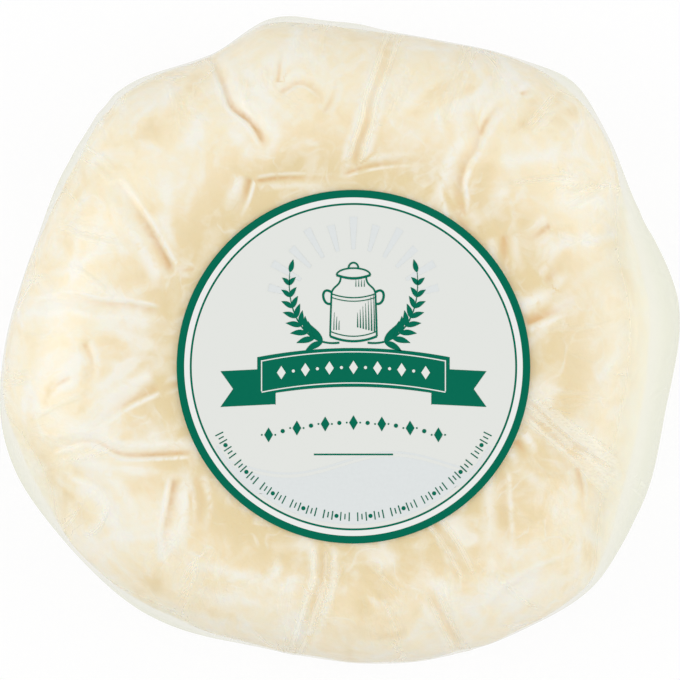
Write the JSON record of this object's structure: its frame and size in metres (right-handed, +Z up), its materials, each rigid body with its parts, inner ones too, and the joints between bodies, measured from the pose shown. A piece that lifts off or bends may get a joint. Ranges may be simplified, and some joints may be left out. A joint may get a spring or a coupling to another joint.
{
  "type": "soft sheep cheese",
  "caption": "Low lobed round of soft-ripened sheep cheese with cloth folds in its rind, sealed in clear film with a round paper label on top.",
  "frame": {"origin": "centre of the bounding box across, at the level that the packed cheese stands on", "axes": "+Z up through the label, +X along the longest width, from the label's left edge to its right edge; +Y towards the label's top edge"},
  "size_m": [0.1008, 0.0954, 0.0292],
  "materials": {
    "cheese_rind": "moist soft-ripened rind, cream yellow with white bloom",
    "clear_film": "thin clear film, glossy, slightly milky",
    "label_paper": "coated paper with a green printed edge band"
  },
  "bodies": {
    "root": {"cheese": "cheese_rind", "film_wrap": "clear_film", "label": "label_paper"}
  },
  "joints": []
}
